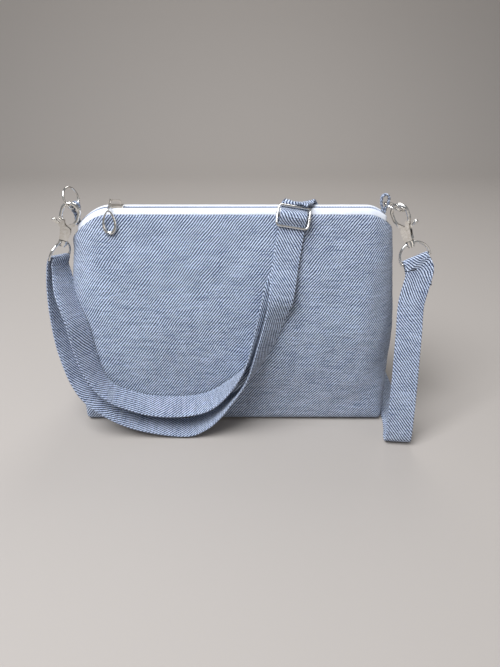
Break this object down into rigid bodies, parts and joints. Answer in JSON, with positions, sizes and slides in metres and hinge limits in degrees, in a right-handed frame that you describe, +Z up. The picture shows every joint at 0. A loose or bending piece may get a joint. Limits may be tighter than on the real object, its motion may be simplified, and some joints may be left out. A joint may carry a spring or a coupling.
{
  "type": "shoulder bag",
  "caption": "Small zipped shoulder bag in coarse blue-grey twill with a boxed base; its narrow strap clips on with swivel snap hooks and runs through a wire adjuster.",
  "frame": {"origin": "middle of the base, on the surface the bag stands on", "axes": "+Z up, -Y towards the front wall with the strap loop, +X towards the right end; the zip runs along X"},
  "size_m": [0.3743, 0.1631, 0.2355],
  "materials": {
    "twill": "coarse blue-grey and off-white diagonal twill",
    "strap": "the same twill, folded and edge-stitched",
    "lining": "plain cotton",
    "zip_tape": "woven polyester tape",
    "zip_teeth": "moulded polyester coil",
    "nickel": "bright nickel plate",
    "spring_steel": "drawn steel wire"
  },
  "bodies": {
    "bag": {"front_panel": "twill", "back_panel": "twill", "front_lining": "lining", "back_lining": "lining", "zip_tape_front": "zip_tape", "zip_tape_back": "zip_tape", "zip_coil_front": "zip_teeth", "zip_coil_back": "zip_teeth", "tab_left": "twill", "tab_right": "twill", "strap_right_fold": "strap", "strap_right_drop": "strap", "strap_behind": "strap", "strap_over_top": "strap", "strap_slider_run": "strap", "strap_outer_loop": "strap", "strap_left_fold": "strap", "strap_inner_loop": "strap", "strap_return": "strap"},
    "zip_slider": {"zip_slider": "nickel"},
    "pull_link": {"pull_link": "nickel"},
    "teardrop_pull": {"teardrop_pull": "nickel"},
    "adjuster": {"adjuster_frame": "nickel", "adjuster_bar": "nickel"},
    "ring_left": {"ring_left": "nickel"},
    "dee_left": {"dee_left": "nickel"},
    "hook_left": {"hook_left": "nickel", "gate_pin_left": "spring_steel", "gate_spring_left": "spring_steel"},
    "gate_left": {"gate_left": "nickel"},
    "ring_right": {"ring_right": "nickel"},
    "dee_right": {"dee_right": "nickel"},
    "hook_right": {"hook_right": "nickel", "gate_pin_right": "spring_steel", "gate_spring_right": "spring_steel"},
    "gate_right": {"gate_right": "nickel"}
  },
  "joints": [
    {"name": "zip_slide", "type": "slide", "parent": "bag", "child": "zip_slider", "axis": [1, 0, 0], "range_m": [0, 0.14]},
    {"name": "link_swing", "type": "hinge", "parent": "zip_slider", "child": "pull_link", "pos_m": [-0.1131, 0, 0.22295], "axis": [-1, 0, 0], "range_deg": [0, 205]},
    {"name": "pull_swing", "type": "hinge", "parent": "pull_link", "child": "teardrop_pull", "pos_m": [-0.1131, -0.01258, 0.21681], "axis": [-1, 0, 0], "range_deg": [0, 80]},
    {"name": "adjuster_slide", "type": "slide", "parent": "bag", "child": "adjuster", "axis": [-0.1504, -0.3566, -0.9221], "range_m": [0, 0.035], "deforming": ["strap_slider_run", "strap_return"]},
    {"name": "ring_left_swing", "type": "hinge", "parent": "bag", "child": "ring_left", "pos_m": [-0.147, 0, 0.21516], "axis": [0.2895, 0.9537, 0.0814], "range_deg": [-3, 10]},
    {"name": "ring_right_swing", "type": "hinge", "parent": "bag", "child": "ring_right", "pos_m": [0.144, 0, 0.21982], "axis": [0, 1, 0], "range_deg": [-0.8, 3]},
    {"name": "dee_left_swing", "type": "hinge", "parent": "bag", "child": "dee_left", "pos_m": [-0.16814, -0.00984, 0.16926], "axis": [0.3178, 0.9237, -0.2141], "range_deg": [-1, 0.4]},
    {"name": "hook_left_swivel", "type": "hinge", "parent": "dee_left", "child": "hook_left", "pos_m": [-0.16814, -0.00984, 0.16926], "axis": [0.37, 0.0872, 0.925], "range_deg": [-12, 4]},
    {"name": "gate_left_open", "type": "hinge", "parent": "hook_left", "child": "gate_left", "pos_m": [-0.15862, -0.00734, 0.19841], "axis": [0.1132, -0.9924, 0.0482], "range_deg": [0, 22], "stiffness_Nm_per_rad": 0.012, "springref_deg": -20.05, "deforming": ["gate_spring_left"]},
    {"name": "dee_right_swing", "type": "hinge", "parent": "bag", "child": "dee_right", "pos_m": [0.17752, -0.01423, 0.16955], "axis": [0.9138, 0.0682, 0.4004], "range_deg": [-0.6, 2]},
    {"name": "hook_right_swivel", "type": "hinge", "parent": "dee_right", "child": "hook_right", "pos_m": [0.17752, -0.01423, 0.16955], "axis": [-0.4055, 0.2096, 0.8897], "range_deg": [-10, 15]},
    {"name": "gate_right_open", "type": "hinge", "parent": "hook_right", "child": "gate_right", "pos_m": [0.16646, -0.00892, 0.19776], "axis": [0.5931, 0.801, 0.0816], "range_deg": [0, 20], "stiffness_Nm_per_rad": 0.012, "springref_deg": -20.05, "deforming": ["gate_spring_right"]}
  ]
}
